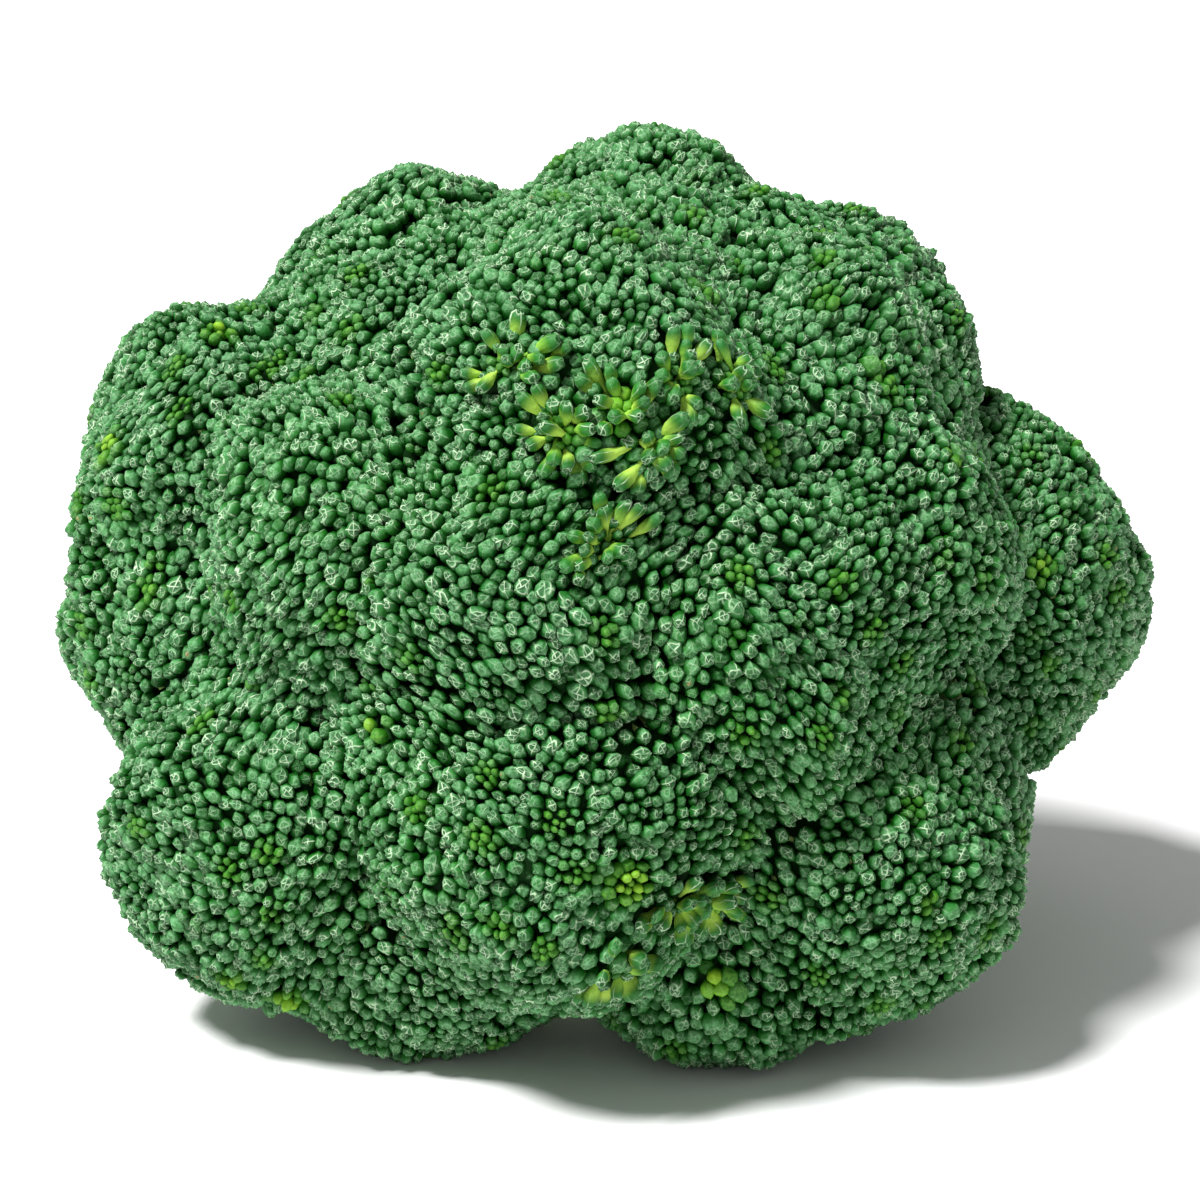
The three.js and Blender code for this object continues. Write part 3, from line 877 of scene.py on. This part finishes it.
class Nodes:
    """Short ways to add shader nodes to a tree and to link them."""

    def __init__(self, tree):
        self.tree = tree

    def add(self, kind, **values):
        node = self.tree.nodes.new(kind)
        for name, value in values.items():
            setattr(node, name, value)
        return node

    def link(self, source, target):
        self.tree.links.new(source, target)

    def put(self, socket, value):
        """Sets a socket to a number or colour, or links an output to it."""
        if isinstance(value, bpy.types.NodeSocket):
            self.link(value, socket)
        else:
            socket.default_value = value

    def fill(self, node, **values):
        """Gives a node's inputs these values. An underscore in a name stands for a space."""
        for name, value in values.items():
            self.put(node.inputs[name.replace("_", " ")], value)

    def math(self, operation, *values):
        node = self.add("ShaderNodeMath", operation=operation)
        for socket, value in zip(node.inputs, values):
            self.put(socket, value)
        return node.outputs[0]

    def times(self, a, b):
        return self.math("MULTIPLY", a, b)

    def plus(self, a, b):
        return self.math("ADD", a, b)

    def ramp(self, value, low, high, start=0.0, end=1.0):
        """Goes smoothly from start to end while value goes from low to high."""
        node = self.add("ShaderNodeMapRange", interpolation_type="SMOOTHSTEP")
        if low > high:
            low, high, start, end = high, low, end, start
        self.fill(node, Value=value, From_Min=low, From_Max=high, To_Min=start, To_Max=end)
        return node.outputs["Result"]

    def bump(self, height, distance, strength):
        """Small relief, with its distance in metres."""
        node = self.add("ShaderNodeBump")
        self.fill(node, Height=height, Distance=distance, Strength=strength)
        return node.outputs[0]

    def mix(self, factor, a, b):
        node = self.add("ShaderNodeMix", data_type="RGBA")
        self.put(node.inputs[0], factor)
        self.put(node.inputs[6], a)
        self.put(node.inputs[7], b)
        return node.outputs[2]

    def in_object(self):
        """Places in the object's own space."""
        return self.add("ShaderNodeTexCoord").outputs["Object"]

    def noise(self, scale, detail=2.0, roughness=0.5, vector=None):
        """Noise with scale in marks per metre, in the object's own space unless a vector is given."""
        node = self.add("ShaderNodeTexNoise")
        self.fill(node, Vector=vector or self.in_object(), Scale=scale, Detail=detail, Roughness=roughness)
        return node.outputs["Fac"]

    def attribute(self, name, output="Fac"):
        return self.add("ShaderNodeAttribute", attribute_name=name).outputs[output]

    def parts(self, vector):
        """The three numbers of a vector."""
        node = self.add("ShaderNodeSeparateXYZ")
        self.link(vector, node.inputs[0])
        return node.outputs

    def group(self, tree, **values):
        """Places a shared group and gives its inputs these values."""
        node = self.add("ShaderNodeGroup", node_tree=tree)
        self.fill(node, **values)
        return node.outputs


def srgb(red, green, blue):
    """A colour given as on a screen, from 0 to 255, in the shader's linear values."""
    def linear(v):
        v /= 255
        return v / 12.92 if v <= 0.04045 else ((v + 0.055) / 1.055) ** 2.4
    return (linear(red), linear(green), linear(blue), 1)


def new_group(name, inputs, outputs):
    """An empty shader group with number or colour sockets, and the outputs of its inputs."""
    tree = bpy.data.node_groups.new(name, "ShaderNodeTree")
    for label, kind, value in inputs:
        socket = tree.interface.new_socket(label, in_out="INPUT", socket_type="NodeSocket" + kind)
        socket.default_value = value
    for label, kind in outputs:
        tree.interface.new_socket(label, in_out="OUTPUT", socket_type="NodeSocket" + kind)
    n = Nodes(tree)
    given = n.add("NodeGroupInput").outputs
    result = n.add("NodeGroupOutput").inputs
    return tree, n, given, result


def plant_mottle():
    """Uneven growth of plant skin: broad patches, and fine cells that catch the light."""
    tree, n, given, result = new_group(
        "plant_mottle",
        (("Patch Scale", "Float", 45.0), ("Cell Scale", "Float", 1200.0)),
        (("Patches", "Float"), ("Cells", "Float")),
    )
    n.link(n.ramp(n.noise(given["Patch Scale"], 3), 0.32, 0.68), result["Patches"])
    n.link(n.ramp(n.noise(given["Cell Scale"], 3, 0.6), 0.3, 0.72), result["Cells"])
    return tree


def new_material(name):
    """A material, the short ways to add its nodes, and its shader."""
    material = bpy.data.materials.new(name)
    material.use_nodes = True
    tree = material.node_tree
    return material, Nodes(tree), tree.nodes["Principled BSDF"]


def bud_material(mottle):
    """Waxy buds: blue-green where grown, yellow-green where young, with pale edges where the sepals meet, a
    painted highlight on their tops and painted shade between them.
    """
    material, n, shader = new_material("waxy_bud")
    growth, chance, exposed = n.parts(n.attribute("bud_nature", "Vector"))
    x, y, height = n.parts(n.attribute("bud_place", "Vector"))
    patches, cells = n.group(mottle, Patch_Scale=42.0, Cell_Scale=1500.0)
    other_chance = n.math("FRACT", n.times(chance, 7.3))

    # Where the sepals' edges are: two meet in a line across the tip, which the others stop at.
    u = n.plus(x, n.ramp(n.noise(420, 0), 0.25, 0.75, -EDGE_WANDER, EDGE_WANDER))
    v = n.plus(y, n.ramp(n.noise(360, 0), 0.25, 0.75, -EDGE_WANDER, EDGE_WANDER))
    stop = n.times(n.math("SIGN", v), n.ramp(chance, 0, 1, -0.2, 0.2))
    across = n.math("MINIMUM", n.math("ABSOLUTE", v), n.math("ABSOLUTE", n.math("SUBTRACT", u, stop)))
    out = n.math("SQRT", n.plus(n.times(u, u), n.times(v, v)))
    lip = n.ramp(n.math("ABSOLUTE", n.math("SUBTRACT", out, LIP_AT)), 0.01, 0.11, 1, 0)
    seam = n.ramp(across, 0.015, 0.12, 1, 0)
    tip = n.ramp(height, 0.5, 0.85)

    # How far they show, and the pit that they leave in the tip, darkened with painted shade.
    broken = n.ramp(n.noise(700, 1), 0.36, 0.6, 0.15, 1)
    marked = n.times(broken, n.ramp(other_chance, 0.15, 0.85, 0.25, 1))
    grown_up = n.ramp(growth, 0.25, 0.8, 0.12, 1)
    lip_here = n.times(lip, n.ramp(height, 0.35, 0.7))
    seam_here = n.times(seam, n.ramp(height, -0.7, 0.5, 0.1, 1))
    edge = n.math("MAXIMUM", lip_here, seam_here)
    edge = n.times(n.times(edge, marked), grown_up)
    inside = n.times(n.ramp(out, LIP_AT, 0.25), n.math("SUBTRACT", 1, seam))
    shaded_pit = n.times(n.times(inside, tip), n.ramp(other_chance, 0.1, 0.7, 0.2, 0.9))
    shaded_pit = n.times(shaded_pit, grown_up)

    # The colours, with a bloom of wax on the upper side that is also a painted highlight on each bud's top.
    club = n.ramp(growth, 1.3, 1.7)
    grown = n.mix(chance, srgb(14, 80, 18), srgb(32, 104, 40))
    grown = n.mix(patches, grown, n.mix(chance, srgb(14, 86, 10), srgb(32, 108, 24)))
    dull = n.mix(chance, srgb(52, 116, 26), srgb(32, 96, 24))
    bright = n.mix(chance, srgb(156, 196, 36), srgb(88, 156, 30))
    young = n.mix(n.ramp(growth, 0, -0.7), dull, bright)
    body = n.mix(n.ramp(growth, 0, 1), young, grown)
    # Painted highlight and real wax bloom: each bud is paler towards its tip.
    bloom_and_highlight = n.times(n.ramp(height, 0.2, 0.95), n.ramp(cells, 0, 1, 0.12, 0.64))
    bloom_and_highlight = n.times(bloom_and_highlight, n.ramp(club, 0, 1, 1, 0.4))
    skin = n.mix(bloom_and_highlight, body, n.mix(n.ramp(growth, 0, 1), srgb(110, 166, 52), srgb(120, 180, 126)))
    pale_foot = n.times(club, n.ramp(height, 0.55, -1.0))
    base = n.mix(pale_foot, skin, n.mix(chance, srgb(178, 212, 84), srgb(128, 182, 62)))
    # Painted shade: the pit in each bud's tip is darkened.
    pitted = n.mix(n.times(shaded_pit, 0.7), base, srgb(16, 58, 26))
    edged = n.mix(n.times(edge, 0.85), pitted, srgb(198, 226, 186))
    scorched = n.times(n.math("GREATER_THAN", chance, 0.997), n.ramp(out, 0.35, 0.1))
    edged = n.mix(n.times(scorched, n.times(tip, 0.7)), edged, srgb(178, 138, 100))

    # Painted shade: little light gets between the buds, and what does is green, so their lower parts are
    # darkened towards deep green.
    painted_shade_amount = n.ramp(exposed, 0.45, -0.7, 0, 0.94)
    shade = n.mix(n.ramp(growth, 0, 1), srgb(36, 98, 8), srgb(4, 70, 5))
    color = n.mix(n.times(painted_shade_amount, n.math("SUBTRACT", 1, club)), edged, shade)
    relief = n.plus(n.math("SUBTRACT", n.times(edge, 1.2), shaded_pit), n.times(cells, 0.35))
    rough = n.ramp(cells, 0, 1, 0.46, 0.66)
    normal = n.bump(relief, 0.00022, 0.8)
    n.fill(shader, Base_Color=color, Roughness=rough, Specular_IOR_Level=0.2, Normal=normal)
    return material


def core_shade_material(mottle):
    """Painted shade: the tissue that shows between buds, coloured a very dark green for the shade that lies
    there.
    """
    material, n, shader = new_material("bud_shadow")
    patches, cells = n.group(mottle, Patch_Scale=120.0, Cell_Scale=900.0)
    color = n.mix(cells, n.mix(patches, srgb(2, 42, 3), srgb(8, 60, 6)), srgb(4, 48, 5))
    n.fill(shader, Base_Color=color, Roughness=n.ramp(cells, 0, 1, 0.7, 0.9), Specular_IOR_Level=0.2)
    return material


def stalk_material(mottle, name, pale, green):
    """Smooth pale skin with faint lengthwise fibres, greener in patches, dried where a leaf was trimmed."""
    material, n, shader = new_material(name)
    patches, cells = n.group(mottle, Patch_Scale=38.0, Cell_Scale=520.0)
    along = n.add("ShaderNodeMapping")
    n.fill(along, Vector=n.in_object(), Rotation=STEM_TURN, Scale=(1, 1, 0.06))
    fibres = n.ramp(n.noise(700, 3, 0.6, along.outputs[0]), 0.35, 0.65)
    color = n.mix(n.times(fibres, 0.45), n.mix(patches, pale, green), n.mix(0.35, pale, srgb(224, 236, 178)))
    color = n.mix(n.times(cells, 0.25), color, green)
    scar = n.attribute("scar")
    color = n.mix(n.ramp(scar, 0.02, 0.3, 0, 0.6), color, srgb(120, 136, 70))
    dried = n.mix(cells, srgb(206, 200, 150), srgb(178, 168, 112))
    color = n.mix(n.ramp(scar, 0.35, 0.75), color, dried)
    rough = n.plus(n.ramp(cells, 0, 1, 0.44, 0.6), n.times(scar, 0.25))
    normal = n.bump(n.plus(fibres, n.times(cells, 0.4)), 0.0002, 0.5)
    n.fill(shader, Base_Color=color, Roughness=rough, Specular_IOR_Level=0.4, Normal=normal)
    return material


def cut_material(mottle):
    """The cut face: a thin green skin, a pale woody ring with fibres across it, and a moist pale middle."""
    material, n, shader = new_material("cut_face")
    patches, cells = n.group(mottle, Patch_Scale=160.0, Cell_Scale=1400.0)
    square = n.add("ShaderNodeMapping", vector_type="TEXTURE")
    n.fill(square, Vector=n.in_object(), Location=Vector(CUT_MIDDLE) * MM, Rotation=STEM_TURN)
    x, y, _ = n.parts(square.outputs[0])
    out = n.math("SQRT", n.plus(n.times(x, x), n.times(y, y)))
    out = n.plus(n.times(out, 1 / MM), n.ramp(n.noise(260, 3), 0.3, 0.7, -0.9, 0.9))
    wander = n.ramp(n.noise(210, 2), 0.3, 0.7, -2.2, 2.2)
    angle = n.plus(n.times(n.math("ARCTAN2", y, x), WOOD_BUNDLES), wander)
    bundles = n.ramp(n.math("SINE", angle), -0.3, 1)
    begins, full, fades, ends = WOOD_RING
    wood = n.times(n.ramp(out, begins, full), n.ramp(out, ends, fades))
    pith = n.mix(patches, srgb(214, 226, 170), srgb(196, 214, 146))
    pith = n.mix(n.times(cells, 0.4), pith, srgb(232, 238, 202))
    ring = n.mix(bundles, srgb(190, 208, 132), srgb(222, 230, 182))
    rind = n.mix(n.ramp(out, 15.2, 17.2), srgb(188, 210, 128), srgb(116, 156, 70))
    color = n.mix(wood, n.mix(n.ramp(out, 14.6, 15.4), pith, rind), ring)
    rough = n.ramp(cells, 0, 1, 0.3, 0.5)
    normal = n.bump(n.plus(cells, n.times(wood, bundles)), 0.0002, 0.6)
    n.fill(shader, Base_Color=color, Roughness=rough, Specular_IOR_Level=0.45, Normal=normal)
    return material


def make_camera():
    """The photograph's view: level from side to side, looking a little down at the crown."""
    elevation = math.radians(16)
    aim = Vector((-2.0, -20.9, 64.0)) * MM
    distance = 480 * MM
    frame_width = 175.4 * MM
    sensor = 36.0
    data = bpy.data.cameras.new("camera")
    data.sensor_fit = "HORIZONTAL"
    data.sensor_width = sensor
    data.lens = sensor * distance / frame_width
    data.clip_start = 0.01
    data.clip_end = 20
    camera = put_in_scene("camera", data)
    camera.location = aim + Vector((0, -math.cos(elevation), math.sin(elevation))) * distance
    camera.rotation_euler = (math.pi / 2 - elevation, 0, 0)
    bpy.context.scene.camera = camera


def make_light(name, azimuth, elevation, softness, strength):
    """Distant soft light that shines on the head from that side and height, in degrees."""
    data = bpy.data.lights.new(name, "SUN")
    data.angle = math.radians(softness)
    data.energy = strength
    light = put_in_scene(name, data)
    a, e = math.radians(azimuth), math.radians(elevation)
    toward = Vector((math.sin(a) * math.cos(e), -math.cos(a) * math.cos(e), math.sin(e)))
    light.location = toward
    light.rotation_euler = toward.to_track_quat("Z", "Y").to_euler()


def make_stage():
    """A pale floor, an even pale sky, and a soft main light from the upper left."""
    half = 3.0
    corners = [(-half, -half, 0), (half, -half, 0), (half, half, 0), (-half, half, 0)]
    floor_mesh = bpy.data.meshes.new("floor")
    floor_mesh.from_pydata(corners, [], [(0, 1, 2, 3)])
    pale, n, shader = new_material("pale_floor")
    n.fill(shader, Base_Color=(0.88, 0.88, 0.88, 1), Roughness=0.9)
    floor_mesh.materials.append(pale)
    floor = put_in_scene("floor", floor_mesh)
    world = bpy.data.worlds.new("studio")
    world.use_nodes = True
    tree = world.node_tree
    Nodes(tree).fill(tree.nodes["Background"], Color=(1, 1, 1, 1), Strength=0.36)
    bpy.context.scene.world = world
    make_light("key", -58, 60, 14, 6.1)
    bpy.context.scene.view_settings.view_transform = "Standard"


def settle(piece, node):
    """Hangs a piece from the root and hides the solid that it takes the place of."""
    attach(piece, "root")
    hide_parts(node)


florets = [Floret(i, name, *row) for i, (name, row) in enumerate(FLORETS.items())]
for floret in florets:
    floret.press(florets)

# Buds of neighbouring florets that would stand in the same place: the one nearer its own floret's top stays.
sites = [BudSites(floret) for floret in florets]
every = np.concatenate([s.floret.surface(s.directions) for s in sites])
owner = np.concatenate([np.full(len(s.directions), i) for i, s in enumerate(sites)])
order = np.argsort(np.concatenate([s.past for s in sites]), kind="stable")
wanted = np.concatenate([s.spacing(s.directions) for s in sites])
kept = np.empty(len(order), bool)
kept[order] = spaced(every[order], wanted[order], CROWDED)
for i, s in enumerate(sites):
    s.keep(kept[owner == i])

make_camera()
make_stage()
MOTTLE = plant_mottle()
BUDS = bud_material(MOTTLE)
CORE_SHADE = core_shade_material(MOTTLE)
SKIN = stalk_material(MOTTLE, "stalk_skin", srgb(186, 206, 132), srgb(138, 176, 84))
CUT = cut_material(MOTTLE)
TWIGS = stalk_material(MOTTLE, "branchlet_skin", srgb(166, 198, 108), srgb(112, 158, 66))
for s in sites:
    floret = s.floret
    settle(grow_buds(s, BUDS), floret.name)
    settle(grow_core(floret, CORE_SHADE), floret.name)
    branchlets = grow_branchlets(floret, TWIGS)
    if branchlets is not None:
        settle(branchlets, floret.name)
settle(grow_stalk((SKIN, CUT)), "stalk")
